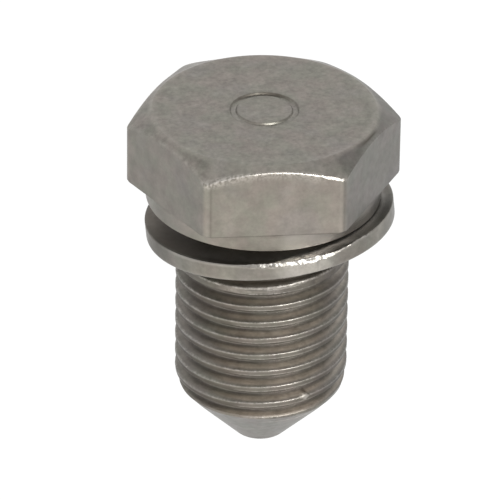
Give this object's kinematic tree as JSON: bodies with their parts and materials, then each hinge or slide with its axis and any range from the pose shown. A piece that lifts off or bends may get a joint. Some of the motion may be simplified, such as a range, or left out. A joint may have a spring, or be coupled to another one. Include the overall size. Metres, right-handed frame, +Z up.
{
  "type": "oil drain plug",
  "caption": "Hexagon-head steel drain plug with collar, reduced neck, metric thread, conical pilot tip and a loose captive sealing washer.",
  "frame": {"origin": "centre of the bounding box's footprint, on the floor that the plug lies on", "axes": "+Z up; the plug lies on its side along Y with its head towards -Y and its tip towards +Y, and its axis rises 10.1 degrees towards the head"},
  "size_m": [0.0214, 0.031, 0.0207],
  "materials": {
    "plug_steel": "dull warm grey plating over forged and rolled steel, fine mottling, brighter worn edges",
    "washer_steel": "satin warm grey plated steel, bright worn rim edges"
  },
  "bodies": {
    "plug": {"plug_body": "plug_steel"},
    "washer": {"captive_washer": "washer_steel"}
  },
  "joints": [
    {"name": "washer_spin", "type": "hinge", "parent": "plug", "child": "washer", "pos_m": [-0.00041, -0.00454, 0.0099], "axis": [0.0912, -0.9915, 0.0926], "continuous": true}
  ]
}
